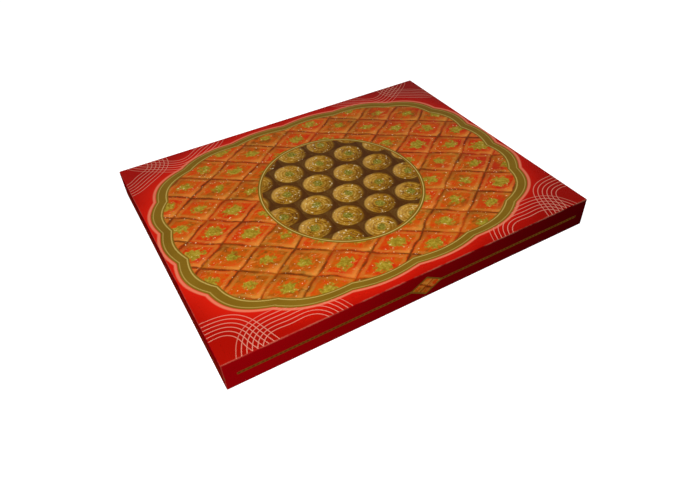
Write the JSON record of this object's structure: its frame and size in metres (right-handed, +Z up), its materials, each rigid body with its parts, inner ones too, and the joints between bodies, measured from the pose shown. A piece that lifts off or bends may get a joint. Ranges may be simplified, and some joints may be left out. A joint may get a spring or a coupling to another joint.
{
  "type": "baklava carton",
  "caption": "Shallow oblong pastry carton of thin printed card with a hinged full-depth lid, holding baklava in rows on greaseproof paper between card dividers.",
  "frame": {"origin": "centre of the closed carton's footprint on the table", "axes": "+X along the long side to the right as seen from the printed front, +Y from the front skirt to the hinged back wall, +Z up"},
  "size_m": [0.4, 0.32, 0.033],
  "materials": {
    "lid_print": "gloss-coated print on thin folding card, white-grey inside",
    "base_board": "uncoated grey-white folding card, red print outside",
    "greaseproof": "thin translucent greaseproof paper",
    "divider_card": "plain card strip",
    "square_pastry": "syrup-glazed golden filo pastry with green nut crumbs",
    "roll_pastry": "syrup-glazed brown rolled filo pastry",
    "triangle_pastry": "syrup-glazed golden filo pastry with green nut crumbs"
  },
  "bodies": {
    "base": {"base_bottom": "base_board", "base_front_wall": "base_board", "base_back_wall": "base_board", "base_left_wall": "base_board", "base_right_wall": "base_board", "base_corner_tabs": "base_board", "liner_floor": "greaseproof", "liner_front_leaf": "greaseproof", "liner_back_leaf": "greaseproof", "divider_1": "divider_card", "divider_2": "divider_card", "divider_3": "divider_card", "square_row_1": "square_pastry", "square_row_2": "square_pastry", "square_row_3": "square_pastry", "square_row_4": "square_pastry", "square_row_5": "square_pastry", "square_row_6": "square_pastry", "square_row_7": "square_pastry", "roll_row_1": "roll_pastry", "roll_row_2": "roll_pastry", "roll_row_3": "roll_pastry", "roll_row_4": "roll_pastry", "roll_row_5": "roll_pastry", "roll_row_6": "roll_pastry", "roll_row_7": "roll_pastry", "roll_row_8": "roll_pastry", "roll_row_9": "roll_pastry", "triangle_row_1": "triangle_pastry", "triangle_row_2": "triangle_pastry", "triangle_row_3": "triangle_pastry", "triangle_row_4": "triangle_pastry", "triangle_row_5": "triangle_pastry", "triangle_row_6": "triangle_pastry"},
    "lid": {"lid_top": "lid_print", "lid_front_skirt": "lid_print", "lid_left_skirt": "lid_print", "lid_right_skirt": "lid_print", "lid_corner_tabs": "lid_print"}
  },
  "joints": [
    {"name": "lid_hinge", "type": "hinge", "parent": "base", "child": "lid", "pos_m": [0, 0.16, 0.0324], "axis": [-1, 0, 0], "range_deg": [0, 180]}
  ]
}
